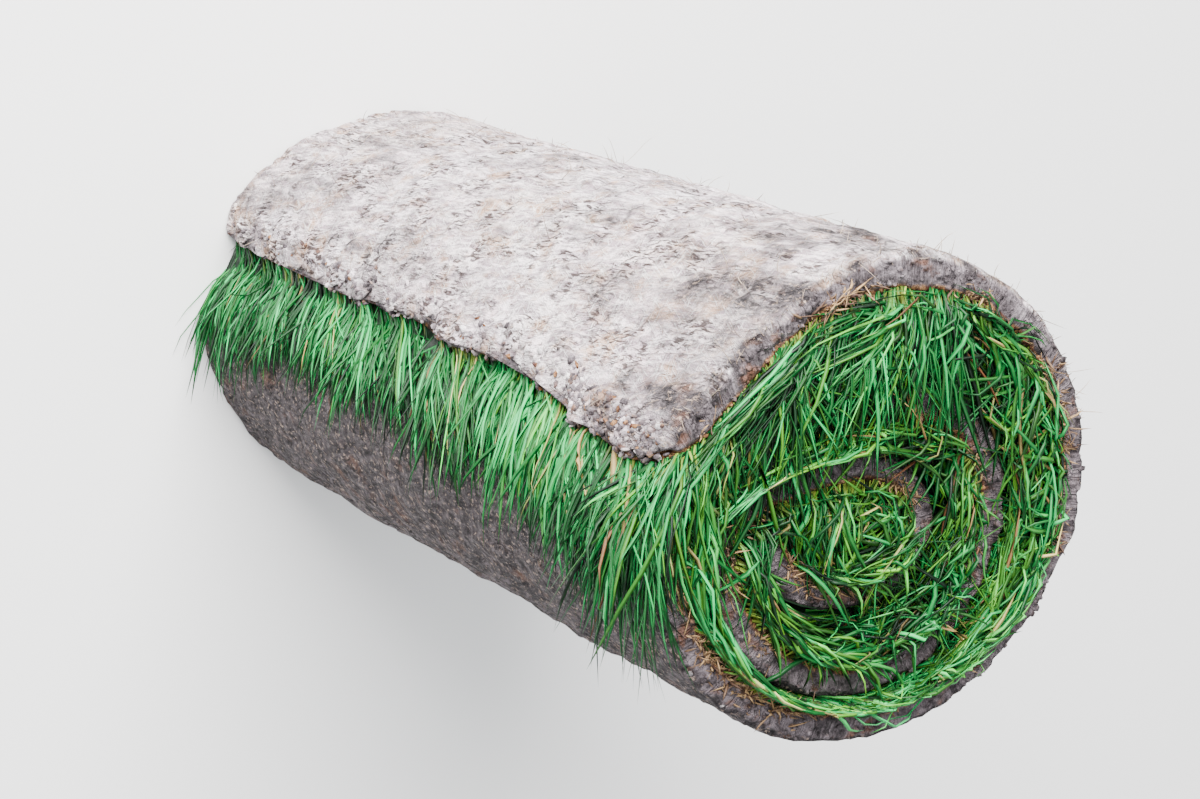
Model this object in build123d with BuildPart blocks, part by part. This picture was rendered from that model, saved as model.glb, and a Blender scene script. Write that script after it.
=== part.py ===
"""Roll of turf, standing on its end.

One cut strip of turf is wound up with its grass inwards, so that the bare soil is outside.
The roll's length runs along Z, up from the floor. Its sections are drawn as seen from above, with
+X to the right of the page and +Y up it, and above, below, left and right are meant on that page.
The strip's free end is a flap at the upper left. From there the strip goes over the top of the page
and winds inwards, clockwise. The roll is slack and has lain on its side, with the foot of the page
down: its own weight has squeezed the grass thin below each turn and left it loose above, so that no
turn is round. The origin is on the floor, at the middle of the footprint.
All lengths are in millimetres and all angles in degrees.
"""

import math
import os

from build123d import *

# The cut strip
strip_width = 610.0
mat_thickness = 20.0

# The outer turn, as it has settled under its own weight
roll_width = 296.0
roll_depth = 276.0
side_drop = 1.0
crown_offset = 12.0
belly_offset = -4.0

# Room that the grass takes between one turn of the mat and the next, from the outside inwards
grass_above = (50.0, 16.0)
grass_right = (36.0, 27.0)
grass_below = (6.0, 30.0)
grass_left = (18.0, 16.0)

# The eye, where the innermost turn closes: how far it lies right of that turn's middle and below it
eye_shift = 0.5
eye_drop = 1.0

# The flap's lip, at the roll's upper end and at its lower end: how far it ends inside the left wall
# and above the line where the wall is widest, and how steeply it falls there
upper_lip_inset = 2.0
upper_lip_rise = 52.0
upper_lip_fall = 28.0
lower_lip_inset = 10.0
lower_lip_rise = 65.0
lower_lip_fall = 66.0

# The tongue that is left at the roll's upper end, where the rest of the lip is torn back
tongue_width = 105.0
tongue_length = 16.0
tongue_root_radius = 7.0
tongue_corner_radius = 8.0
end_corner = 14.0
end_corner_radius = 18.0
flap_slope = 45.0

# The grass that hangs out from under the flap's lip, against the side of the roll
fringe_proud = 12.0
fringe_shoulder = 24.0
fringe_tip = 2.0
upper_fringe_length = 104.0
lower_fringe_length = 74.0

turns = len(grass_above)
half_mat = mat_thickness / 2
# The turns are centred on the room that is left to them, from the outer turn's to the innermost's.
eye_x = (sum(grass_left) - sum(grass_right)) / 2 + eye_shift
eye_y = (sum(grass_below) - sum(grass_above)) / 2 - eye_drop
# The fringe stands out on the left only, so the roll lies this far right of the footprint's middle.
roll_centre = fringe_proud / 2
DOWN, LEFT = (0, -1), (-1, 0)
INWARD = {"top": (0, -1), "right": (-1, 0), "bottom": (0, 1), "left": (1, 0)}
START_ANGLE = {"top": 0, "right": 270, "bottom": 180, "left": 90}


def blend(first, last, turn):
    """The value at this turn, on the way from the outermost turn's to the innermost's."""
    return first + (last - first) * turn / turns


def crossings():
    """Where the mat's outer face is highest, furthest right, lowest and furthest left, turn by turn."""
    found = []
    top, right = roll_depth / 2, roll_width / 2
    bottom, left = -roll_depth / 2, -roll_width / 2
    for turn in range(turns + 1):
        crown = blend(crown_offset, eye_x, turn)
        belly = blend(belly_offset, eye_x, turn)
        side = blend(-side_drop, eye_y, turn)
        found += [
            ("top", crown, top),
            ("right", right, side),
            ("bottom", belly, bottom),
            ("left", left, side),
        ]
        if turn < turns:
            top -= mat_thickness + grass_above[turn]
            right -= mat_thickness + grass_right[turn]
            bottom += mat_thickness + grass_below[turn]
            left += mat_thickness + grass_left[turn]
    return found


def face_point(crossing, depth):
    """The point this deep in the mat, below its outer face, at a crossing."""
    name, x, y = crossing
    inward = INWARD[name]
    return roll_centre + x + inward[0] * depth, y + inward[1] * depth


def quarter_turn(start, end, depth):
    """The quarter of an ellipse that runs from one crossing to the next, this deep in the mat."""
    sx, sy = face_point(start, depth)
    ex, ey = face_point(end, depth)
    centre = (sx, ey) if start[0] in ("top", "bottom") else (ex, sy)
    return EllipticalCenterArc(
        centre, abs(ex - sx), abs(ey - sy), start_angle=START_ANGLE[start[0]], arc_size=90
    )


def wall_at(y):
    """How far left the outer turn reaches at this y, below where it is widest."""
    belly_x, belly_y = face_point(belly, 0)
    wall_x, wall_y = face_point(wall, 0)
    drop = (wall_y - y) / (wall_y - belly_y)
    return belly_x - (belly_x - wall_x) * math.sqrt(1 - drop**2)


def lip_point(inset, rise, fall, depth):
    """The point this deep in the mat at the flap's lip."""
    wall_x, wall_y = face_point(wall, 0)
    angle = math.radians(fall)
    return wall_x + inset + math.sin(angle) * depth, wall_y + rise - math.cos(angle) * depth


def flap_curve(inset, rise, fall, depth):
    """The flap's line from the crown to its lip, this deep in the mat."""
    angle = math.radians(fall)
    return Spline(
        face_point(crown, depth),
        lip_point(inset, rise, fall, depth),
        tangents=[LEFT, (-math.cos(angle), -math.sin(angle))],
    )


def flap_section(plane, lip):
    """The flap's section on this plane, from the crown to its lip."""
    with BuildSketch(plane) as section:
        with BuildLine():
            outer = flap_curve(*lip, 0)
            inner = flap_curve(*lip, mat_thickness)
            Line(outer @ 0, inner @ 0)
            Line(outer @ 1, inner @ 1)
        make_face()
    return section.sketch


def hanging_grass_section(plane, lip, length):
    """The grass under the flap and the fringe below its lip, drawn into the mat on both sides."""
    lip_x, lip_y = lip_point(*lip, half_mat)
    tip_y = lip_y - length
    tip = (wall_at(tip_y) - fringe_tip, tip_y)
    foot = (wall_at(tip_y) + half_mat, tip_y)
    shoulder = (face_point(wall, 0)[0] - fringe_proud, lip_y - fringe_shoulder)
    with BuildSketch(plane) as section:
        with BuildLine():
            under_flap = flap_curve(*lip, half_mat)
            Line(under_flap @ 0, face_point(second_crown, half_mat))
            quarter_turn(wall, second_crown, half_mat)
            Line(face_point(wall, half_mat), foot)
            Line(foot, tip)
            TangentArc(shoulder, tip, tangent=DOWN)
            Line(shoulder, (lip_x, lip_y))
        make_face()
    return section.sketch


path = crossings()
crown, _, belly, wall, second_crown = path[:5]
outer_turn = path[:5]
upper_lip = (upper_lip_inset, upper_lip_rise, upper_lip_fall)
lower_lip = (lower_lip_inset, lower_lip_rise, lower_lip_fall)
upper_end, lower_end = Plane.XY.offset(strip_width), Plane.XY

# Square to the flap's slope: this plane's x runs down the roll from its upper end, and its y runs
# down the flap to the lip.
slope = math.radians(flap_slope)
flap_plane = Plane(
    origin=(*lip_point(*upper_lip, 0), strip_width),
    x_dir=(0, 0, -1),
    z_dir=(-math.sin(slope), math.cos(slope), 0),
)

# The flap sinks from the lower end to the upper, and its lip is torn back everywhere but at the tongue.
with BuildPart() as flap:
    loft(sections=[flap_section(upper_end, upper_lip), flap_section(lower_end, lower_lip)])
    with BuildSketch(flap_plane) as torn_away:
        with BuildLine():
            past_the_roll = 2 * strip_width
            torn_line = FilletPolyline(
                (end_corner - strip_width, -strip_width),
                (end_corner, 0),
                (tongue_width, 0),
                (tongue_width, -tongue_length),
                (past_the_roll, -tongue_length),
                radius=(end_corner_radius, tongue_corner_radius, tongue_root_radius),
            )
            Polyline(
                torn_line @ 1,
                (past_the_roll, strip_width),
                (-strip_width, strip_width),
                torn_line @ 0,
            )
        make_face()
    extrude(amount=roll_width, both=True, mode=Mode.SUBTRACT)

# The soil mat: its wound part is one extruded section, and the flap continues it from the crown.
with BuildPart() as soil_mat:
    with BuildSketch(lower_end):
        with BuildLine():
            for start, end in zip(path, path[1:]):
                quarter_turn(start, end, 0)
                quarter_turn(start, end, mat_thickness)
            for crossing in (path[0], path[-1]):
                Line(face_point(crossing, 0), face_point(crossing, mat_thickness))
        make_face()
    extrude(amount=strip_width)
    add(flap.part)

# The grass fills the room between the turns and the eye, and hangs out as a fringe.
with BuildPart() as grass:
    with BuildSketch(lower_end):
        with BuildLine():
            for start, end in zip(outer_turn, outer_turn[1:]):
                quarter_turn(start, end, half_mat)
            Line(face_point(second_crown, half_mat), face_point(crown, half_mat))
        make_face()
    extrude(amount=strip_width)
    loft(
        sections=[
            hanging_grass_section(upper_end, upper_lip, upper_fringe_length),
            hanging_grass_section(lower_end, lower_lip, lower_fringe_length),
        ]
    )
    add(soil_mat.part, mode=Mode.SUBTRACT)

strip_length = soil_mat.part.volume / (strip_width * mat_thickness)
print(f"Length of the cut strip, along its middle: {strip_length:.0f} mm")

soil_mat.part.label = "soil_mat"
grass.part.label = "grass"
os.makedirs("parts", exist_ok=True)
for piece in (soil_mat.part, grass.part):
    export_step(piece, f"parts/{piece.label}.step")
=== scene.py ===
"""A roll of turf standing on its end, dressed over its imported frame.

Lengths in this file are millimetres until a mesh is made, and Blender's metres after that.
A place in the roll is told by three numbers:
  station  how far along the wound strip: -1 at the flap's lip, 0 at the crown, then one for each
           quarter turn inwards, up to 11 at the eye
  down     how far below the roll's upper end
  depth    how deep in the mat, from 0 on its bare outer face to 20 on the face that grass grows on
"""

import math

import bpy
import numpy as np
from mathutils import Matrix, Vector


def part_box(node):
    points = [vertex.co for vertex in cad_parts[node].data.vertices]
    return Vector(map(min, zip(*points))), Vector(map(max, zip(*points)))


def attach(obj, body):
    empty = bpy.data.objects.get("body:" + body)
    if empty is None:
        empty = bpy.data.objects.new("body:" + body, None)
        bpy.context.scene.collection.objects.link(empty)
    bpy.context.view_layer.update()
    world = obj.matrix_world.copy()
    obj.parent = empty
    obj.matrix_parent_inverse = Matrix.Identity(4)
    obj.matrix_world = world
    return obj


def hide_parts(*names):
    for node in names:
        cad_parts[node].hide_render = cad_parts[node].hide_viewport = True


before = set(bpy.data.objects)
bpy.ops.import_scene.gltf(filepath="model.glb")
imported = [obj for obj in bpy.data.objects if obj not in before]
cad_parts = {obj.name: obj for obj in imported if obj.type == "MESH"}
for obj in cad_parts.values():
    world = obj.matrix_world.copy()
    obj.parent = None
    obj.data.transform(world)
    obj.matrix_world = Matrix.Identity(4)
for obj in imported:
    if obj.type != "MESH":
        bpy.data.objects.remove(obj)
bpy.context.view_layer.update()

MM = 0.001
MAT_LOW, MAT_HIGH = (np.round(np.array(corner) / MM, 1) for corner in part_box("soil_mat"))
LENGTH = MAT_HIGH[2]
MAT = 20.0
# The depth that is left last where the mat thins out towards its torn lip
MAT_CORE = MAT * 0.55
# The way that is down in the photograph, where the roll lies on its side. The grass hangs that way.
DOWNHILL = np.array([0.0, -1.0])

# The wound strip, as the frame has it

ROLL_WIDTH, ROLL_DEPTH = MAT_HIGH[:2] - MAT_LOW[:2]
ROLL_CENTRE = (MAT_LOW[0] + MAT_HIGH[0]) / 2
CROWN_OFFSET, BELLY_OFFSET, SIDE_DROP = 12.0, -4.0, 1.0
GRASS_ABOVE, GRASS_RIGHT = (50.0, 16.0), (36.0, 27.0)
GRASS_BELOW, GRASS_LEFT = (6.0, 30.0), (18.0, 16.0)
EYE_X = (sum(GRASS_LEFT) - sum(GRASS_RIGHT)) / 2 + 0.5
EYE_Y = (sum(GRASS_BELOW) - sum(GRASS_ABOVE)) / 2 - 1.0
INWARD = np.array([(0, -1), (-1, 0), (0, 1), (1, 0)], float)
# The flap's lip at the roll's two ends: its x and y, and how steeply it falls there
UPPER_LIP = (-140.0, 51.0, 28.0)
LOWER_LIP = (-132.0, 64.0, 66.0)
LIP_DROP = 14.85
TONGUE_WIDTH, TONGUE_LENGTH, END_CORNER = 105.0, 16.0, 16.0


def wound_crossings():
    """The outer face's highest, rightmost, lowest and leftmost points of each turn, as an array."""
    found = []
    top, right = ROLL_DEPTH / 2, ROLL_WIDTH / 2
    bottom, left = -ROLL_DEPTH / 2, -ROLL_WIDTH / 2
    for turn in range(3):
        share = turn / 2
        crown = CROWN_OFFSET + (EYE_X - CROWN_OFFSET) * share
        belly = BELLY_OFFSET + (EYE_X - BELLY_OFFSET) * share
        side = -SIDE_DROP + (EYE_Y + SIDE_DROP) * share
        found += [(crown, top), (right, side), (belly, bottom), (left, side)]
        if turn < 2:
            top -= MAT + GRASS_ABOVE[turn]
            right -= MAT + GRASS_RIGHT[turn]
            bottom += MAT + GRASS_BELOW[turn]
            left += MAT + GRASS_LEFT[turn]
    return np.array(found) + (ROLL_CENTRE, 0)


CROSSINGS = wound_crossings()
EYE_STATION = float(len(CROSSINGS) - 1)
# Stations in a whole turn, and the last one that anything is rooted at
TURN, LAST_ROOT = 4.0, 10.9


def wound_place(station, depth):
    """Quarter ellipses: centre + (start - centre) * cos(angle) + (end - centre) * sin(angle)."""
    quarter = np.clip(np.floor(station).astype(int), 0, len(CROSSINGS) - 2)
    angle = ((station - quarter) * np.pi / 2)[..., None]
    start = CROSSINGS[quarter] + INWARD[quarter % 4] * depth[..., None]
    end = CROSSINGS[quarter + 1] + INWARD[(quarter + 1) % 4] * depth[..., None]
    centre = np.where(
        (quarter % 2 == 0)[..., None],
        np.stack([start[..., 0], end[..., 1]], -1),
        np.stack([end[..., 0], start[..., 1]], -1),
    )
    return centre + (start - centre) * np.cos(angle) + (end - centre) * np.sin(angle)


def bezier(poles, t):
    """The cubic through its first and last pole: the four Bernstein weights times the poles."""
    t = t[..., None]
    return (
        poles[0] * (1 - t) ** 3
        + poles[1] * 3 * t * (1 - t) ** 2
        + poles[2] * 3 * t**2 * (1 - t)
        + poles[3] * t**3
    )


def flap_poles(lip, depth):
    """The flap's four poles: level at the crown, and falling at the lip's own angle."""
    x, y, fall = lip[0], lip[1], math.radians(lip[2])
    first = np.stack([np.full_like(depth, CROSSINGS[0][0]), CROSSINGS[0][1] - depth], -1)
    last = np.stack([x + math.sin(fall) * depth, y - math.cos(fall) * depth], -1)
    chord = np.abs(last - first).sum(-1)[..., None] / 3
    away = np.array([-1.0, 0.0])
    down = np.array([-math.cos(fall), -math.sin(fall)])
    return first, first + away * chord, last - down * chord / np.abs(down).sum(), last


def gone_along(line):
    """How far along a line each of its points lies."""
    return np.concatenate([[0], np.cumsum(np.linalg.norm(np.diff(line, axis=0), axis=1))])


def even_steps(lip):
    """Shares of the flap's length, the Bezier parameters that reach them, and that length."""
    t = np.linspace(0, 1, 80)
    gone = gone_along(bezier(flap_poles(lip, np.full_like(t, MAT / 2)), t))
    return gone / gone[-1], t, gone[-1]


UPPER_STEPS, LOWER_STEPS = even_steps(UPPER_LIP), even_steps(LOWER_LIP)
FLAP_LENGTH = (UPPER_STEPS[2] + LOWER_STEPS[2]) / 2


def flap_place(station, down, depth):
    """The upper end's flap and the lower end's, mixed straight in proportion to the way down.

    Past its lip, each goes straight on.
    """
    share = np.clip(-station, 0, 1.1)
    over = np.clip(share - 1, 0, None)[..., None]
    mix = (down / LENGTH)[..., None]
    places = []
    for lip, steps in ((UPPER_LIP, UPPER_STEPS), (LOWER_LIP, LOWER_STEPS)):
        t = np.interp(share, steps[0], steps[1])
        fall = math.radians(lip[2])
        beyond = np.array([-math.cos(fall), -math.sin(fall)]) * over * steps[2]
        places.append(bezier(flap_poles(lip, depth), t) + beyond)
    return places[0] * (1 - mix) + places[1] * mix


def mat_place(station, down, depth):
    """The point of the mat at this station, down and depth, as an array of x, y, z."""
    station, down, depth = np.broadcast_arrays(station, down, depth)
    flat = np.where(
        (station < 0)[..., None],
        flap_place(np.minimum(station, 0), down, depth),
        wound_place(np.maximum(station, 0), depth),
    )
    return np.concatenate([flat, (LENGTH - down)[..., None]], -1)


# The mat's middle line, a little below the upper end
STATIONS = np.linspace(-1, EYE_STATION, 1500)
MID_LINE = mat_place(STATIONS, 20.0, MAT / 2)[:, :2]
RUN = gone_along(MID_LINE)
MID_TANGENT = np.gradient(MID_LINE, axis=0)
MID_TANGENT /= np.linalg.norm(MID_TANGENT, axis=1)[:, None]


def run_at(station):
    """Millimetres along the strip from its untorn lip."""
    return np.interp(station, STATIONS, RUN)


def station_at(run):
    """The station that lies this many millimetres along the strip."""
    return np.interp(run, RUN, STATIONS)


# Chance, always the same


def smooth_noise(seed, *where):
    """Random values on a lattice, joined by a smoothstep in each direction; from -1 to 1."""
    size = 64
    values = np.random.default_rng(seed).uniform(-1, 1, (size,) * len(where))
    cells, parts = [], []
    for line in np.broadcast_arrays(*where):
        cell = np.floor(line)
        part = line - cell
        cells.append(cell.astype(int))
        parts.append(part * part * (3 - 2 * part))
    total = 0.0
    for corner in range(2 ** len(where)):
        weight, index = 1.0, []
        for axis, (cell, part) in enumerate(zip(cells, parts)):
            high = corner >> axis & 1
            weight = weight * (part if high else 1 - part)
            index.append((cell + high) % size)
        total = total + weight * values[tuple(index)]
    return total


def layers(seed, scales, *where):
    """A sum of smooth noises, one for each (size in mm, height) of scales."""
    return sum(
        height * smooth_noise(seed + 7 * k, *(line / size for line in where))
        for k, (size, height) in enumerate(scales)
    )


def tuft_way(seed, run, down, size=18.0):
    """Three smooth noises as a direction, so that the blades of one tuft lean the same way."""
    return np.stack([smooth_noise(seed + k, run / size, down / size) for k in range(3)], -1)


def ease(low, high, value):
    """0 at low, 1 at high, and a smoothstep between."""
    t = np.clip((value - low) / (high - low), 0, 1)
    return t * t * (3 - 2 * t)


def unit(vectors):
    """Each vector at length one."""
    return vectors / np.maximum(np.linalg.norm(vectors, axis=-1, keepdims=True), 1e-9)


# The torn lip and the worn faces


def torn_back(down):
    """Millimetres of flap missing at the lip: the frame's torn line, with ragged noise and notches."""
    share = down / LENGTH
    tongue = ease(TONGUE_WIDTH + 9, TONGUE_WIDTH - 9, down)
    line = -TONGUE_LENGTH * (1 - tongue) - np.clip(END_CORNER - down, 0, None) * 0.9
    missing = np.clip(-LIP_DROP * share - line, 0, None) / 0.95
    ragged = layers(11, [(38, 3.2), (17, 3.0), (8, 2.4), (4.2, 1.8)], down)
    notch = 6.0 * ease(0.45, 0.8, smooth_noise(17, down / 12))
    return missing + np.clip(ragged + notch, -3.5, 12.0) + 0.6


def from_lip(station, down):
    """Millimetres of flap between this point and the torn lip."""
    return (station + 1) * FLAP_LENGTH - torn_back(down)


def behind_lip(down, back):
    """The station that lies so many millimetres back from the torn lip."""
    return (torn_back(down) + back) / FLAP_LENGTH - 1


def lip_thickness(away):
    """The share of the mat's thickness that is left so far from the lip, as a rounded edge."""
    return 0.16 + 0.84 * np.sqrt(ease(-2, 17, away))


def mat_wear(station, down, depth):
    """The worn depth and down of a point: bumps on the faces, rough cut ends, rounded edges."""
    run = run_at(station)
    outer = ease(14, 0, depth)
    inner = ease(8, 20, depth)
    bumps = layers(21, [(90, 2.2), (34, 1.2), (13, 0.9), (6, 0.75)], run, down)
    dents = layers(25, [(9, 1.0)], run * 1.9, down * 0.55)
    torn = ease(46, 8, run - torn_back(down)) * layers(27, [(12, 1.6), (6, 1.5)], run, down)
    bumps = bumps - 1.7 * ease(0.30, 0.8, dents) + torn
    worn = depth - outer * bumps + inner * layers(31, [(24, 1.6), (9, 1.2)], run, down)
    edge = ease(5, 0, down) + ease(LENGTH - 4, LENGTH, down)
    worn = worn + edge * (ease(6, 0, depth) * 1.9 - ease(14, 20, depth) * 1.7)
    end = ease(7, 0, down)
    inside = ease(3.6, 4.6, station)
    rough = layers(41, [(28, 1.5), (9, 1.4), (4.2, 1.2)], run, depth * 1.3)
    chipped = 2.2 * ease(0.30, 0.75, layers(45, [(8, 1.0)], run, depth))
    corner = 1.6 * (ease(5, 0, depth) + ease(15, 20, depth))
    recess = inside * (1.8 + layers(47, [(45, 2.2)], run))
    sunk = np.clip(rough + chipped + corner, -1.5, 7) + 0.8 + recess
    foot = ease(LENGTH - 5, LENGTH, down) * np.clip(1.2 + rough * 0.6, 0.2, 3)
    return worn, down + end * sunk + recess * ease(30, 8, down) * (1 - end) - foot


def worn_place(station, down, depth):
    """The place of a point of the real mat: worn, then thinned towards the lip."""
    worn, sunk = mat_wear(station, down, depth)
    worn = MAT_CORE + (worn - MAT_CORE) * lip_thickness(from_lip(station, down))
    return mat_place(station, np.clip(sunk, -1.0, LENGTH), worn)


def mat_marks(station, down, depth):
    """How light the bare face is, partly from drier soil and partly as painted light and shade, and how
    deep in the cut a point lies, as flat arrays.

    It is lightest on the flap and the crown, which face the light, as painted light, and darker round
    the other sides and on the inner turns, partly moist soil and partly painted shade. It is lighter and
    darker in streaks, and darker near the lip and towards the upper end.
    """
    run = run_at(station)
    # Painted light and shade, partly moist soil: lightest where the strip faces the light, on the flap
    # and the crown, darker round the sides and on the inner turns
    dry_and_lit = 0.7 * ease(1.3, 0.15, station) + 0.3 * ease(3.4, 0.4, station)
    dry_and_lit = np.where(station > 3.55, 0.1, dry_and_lit)
    patchy = 0.55 + 0.5 * layers(65, [(15, 0.8), (6, 0.4)], run, down)
    edge = ease(44, 2, from_lip(station, down)) * (0.6 + 0.4 * ease(TONGUE_WIDTH + 40, 30, down))
    edge = np.clip(edge + 0.5 * ease(16, 1, down), 0, 1)
    near_end = 0.52 * ease(190, 25, down) * dry_and_lit
    streaky = layers(61, [(70, 0.36), (26, 0.36), (10, 0.36)], run * 1.5, down * 0.7)
    dry_and_lit = dry_and_lit - 0.55 * edge * patchy - near_end + streaky * (0.1 + 0.9 * dry_and_lit)
    return {"dryness_and_light": np.clip(dry_and_lit, 0, 1).ravel(), "depth": (depth / MAT).ravel()}


def strip_map(station, down):
    """The flat strip's own map in metres: along it, and across it."""
    return np.stack([run_at(station).ravel() * MM, down.ravel() * MM], -1)


# Meshes


def new_object(name, data):
    """An object that holds this mesh, light or camera, in the scene."""
    made = bpy.data.objects.new(name, data)
    bpy.context.scene.collection.objects.link(made)
    return made


def new_piece(name, points, quads, tris, node, slot, material, marks=None, strip=None):
    """A mesh from whole arrays: points in mm, faces, point attributes, and a map of the strip."""
    mesh = bpy.data.meshes.new(name)
    corners = np.concatenate([quads.ravel(), tris.ravel()]).astype(np.int32)
    sizes = np.concatenate([np.full(len(quads), 4), np.full(len(tris), 3)])
    starts = np.concatenate([[0], np.cumsum(sizes)[:-1]]).astype(np.int32)
    mesh.vertices.add(len(points))
    mesh.vertices.foreach_set("co", (points * MM).astype(np.float32).ravel())
    mesh.loops.add(len(corners))
    mesh.loops.foreach_set("vertex_index", corners)
    mesh.polygons.add(len(sizes))
    mesh.polygons.foreach_set("loop_start", starts)
    mesh.polygons.foreach_set("use_smooth", np.ones(len(sizes), bool))
    if strip is not None:
        layer = mesh.uv_layers.new(name="strip")
        layer.uv.foreach_set("vector", strip[corners].astype(np.float32).ravel())
    for mark, values in (marks or {}).items():
        attribute = mesh.attributes.new(mark, "FLOAT", "POINT")
        attribute.data.foreach_set("value", values.astype(np.float32))
    mesh.update(calc_edges=True)
    mesh.materials.append(material)
    piece = new_object(name, mesh)
    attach(piece, "root")
    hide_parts(node)


def ring_quads(rows, columns):
    """The faces of a grid whose columns close on themselves.

    They face outwards where the columns run anticlockwise, as seen from the last row.
    """
    row, column = np.meshgrid(np.arange(rows - 1), np.arange(columns), indexing="ij")
    following = (column + 1) % columns
    here, above = row * columns, (row + 1) * columns
    corners = [here + column, here + following, above + following, above + column]
    return np.stack(corners, -1).reshape(-1, 4)


def repeated(faces, count, per):
    """The faces of one shape for count copies of it, which have per points each."""
    return (faces[None] + (np.arange(count) * per)[:, None, None]).reshape(-1, faces.shape[1])


def graded(last, fine, coarse, reach):
    """Numbers from 0 to last whose steps grow from fine at both ends to coarse beyond reach."""
    ahead = [0.0]
    while ahead[-1] < last / 2:
        ahead.append(ahead[-1] + fine + (coarse - fine) * min(ahead[-1] / reach, 1))
    half = np.array(ahead) / ahead[-1] * last / 2
    return np.concatenate([half, last - half[-2::-1]])


def spaced(first, last, step):
    """Stations from first up to last, that lie about step mm apart along the strip."""
    count = int(round((run_at(last) - run_at(first)) / step)) + 1
    return station_at(np.linspace(run_at(first), run_at(last), count))


def cap_tris(ring, outer_count):
    """Fills a ring by walking its outer face and the rest of it side by side, share by share."""
    outer, rest = ring[:outer_count], ring[outer_count:][::-1]
    shares = np.linspace(0, 1, outer_count)
    here = np.clip(np.searchsorted(np.linspace(0, 1, len(rest)), shares), 0, len(rest) - 1)
    here[0] = 0
    here[-1] = len(rest) - 1
    tris = [np.stack([outer[1:], outer[:-1], rest[here[:-1]]], -1)]
    for k in np.flatnonzero(np.diff(here)):
        steps = np.arange(here[k], here[k + 1])
        tris.append(np.stack([np.full(len(steps), outer[k + 1]), rest[steps], rest[steps + 1]], -1))
    return np.concatenate(tris)


def mat_piece(name, rows, outer_down, inner_down, across):
    """A closed length of mat: on each row, its perimeter round the outer face, lower end, inner
    face and upper end. The rows near the lip start where the torn line is."""
    lower = across[1:-1]
    ends = np.full(len(lower), LENGTH)
    down = np.concatenate([outer_down, ends, inner_down[::-1], ends * 0])
    full = np.full(len(inner_down), MAT)
    depth = np.concatenate([outer_down * 0, lower, full, lower[::-1]])
    flap = np.clip(-rows, 0, 1)[:, None]
    station = rows[:, None] + torn_back(down)[None, :] / FLAP_LENGTH * flap
    station, down, depth = np.broadcast_arrays(station, down[None, :], depth[None, :])
    points = worn_place(station, down, depth).reshape(-1, 3)
    points[:, 2] = np.maximum(points[:, 2], 0.0)
    columns = down.shape[1]
    first = cap_tris(np.arange(columns), len(outer_down))[:, ::-1]
    last = (first + (len(rows) - 1) * columns)[:, ::-1]
    quads = ring_quads(len(rows), columns)[:, ::-1]
    new_piece(
        name, points, quads, np.concatenate([first, last]),
        "soil_mat", "soil", soil, mat_marks(station, down, depth), strip_map(station, down),
    )


# Materials


class Wiring:
    """Adds nodes to a tree and links them, so that a material reads as a list of steps."""

    def __init__(self, tree):
        self.tree = tree

    def join(self, value, socket):
        if isinstance(value, bpy.types.NodeSocket):
            self.tree.links.new(value, socket)
        else:
            socket.default_value = value

    def add(self, kind, values=None, **settings):
        node = self.tree.nodes.new("ShaderNode" + kind)
        for key, value in settings.items():
            setattr(node, key, value)
        for key, value in (values or {}).items():
            self.join(value, node.inputs[key])
        return node

    def noise(self, where, scale, detail=4.0, rough=0.6):
        values = {"Vector": where, "Scale": scale, "Detail": detail, "Roughness": rough}
        return self.add("TexNoise", values).outputs[0]

    def maths(self, operation, a, b):
        return self.add("Math", {0: a, 1: b}, operation=operation).outputs[0]

    def times(self, a, b):
        return self.maths("MULTIPLY", a, b)

    def ramp(self, value, low, high, start=0.0, end=1.0):
        values = {"Value": value, "From Min": low, "From Max": high, "To Min": start, "To Max": end}
        return self.add("MapRange", values).outputs[0]

    def mix(self, share, a, b, blend="MIX"):
        node = self.add("Mix", data_type="RGBA", blend_type=blend)
        # The colours' own sockets are the seventh and the eighth, and the third output
        for index, value in ((0, share), (6, a), (7, b)):
            self.join(value, node.inputs[index])
        return node.outputs[2]

    def mark(self, name):
        return self.add("Attribute", attribute_name=name).outputs["Fac"]

    def stretched(self, where, scale, turn=0.0):
        values = {"Vector": where, "Rotation": (0, 0, turn)}
        turned = self.add("Mapping", values).outputs[0]
        return self.add("Mapping", {"Vector": turned, "Scale": scale}).outputs[0]

    def bent(self, where, scale, amount):
        shift = self.add("TexNoise", {"Vector": where, "Scale": scale}).outputs["Color"]
        shift = self.add("VectorMath", {0: shift, "Scale": amount}, operation="SCALE").outputs[0]
        return self.add("VectorMath", {0: where, 1: shift}, operation="ADD").outputs[0]

    def finish(self, shader, colour, rough, height=None, strength=1.0, distance=0.0):
        self.join(colour, shader.inputs["Base Color"])
        self.join(rough, shader.inputs["Roughness"])
        if height is not None:
            values = {"Height": height, "Strength": strength, "Distance": distance}
            self.join(self.add("Bump", values).outputs[0], shader.inputs["Normal"])


def rgb(r, g, b):
    """A colour as it looks on screen, 0 to 255, as the linear colour that a shader wants."""
    def linear(v):
        v /= 255
        return v / 12.92 if v < 0.04045 else ((v + 0.055) / 1.055) ** 2.4
    return (linear(r), linear(g), linear(b), 1.0)


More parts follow.
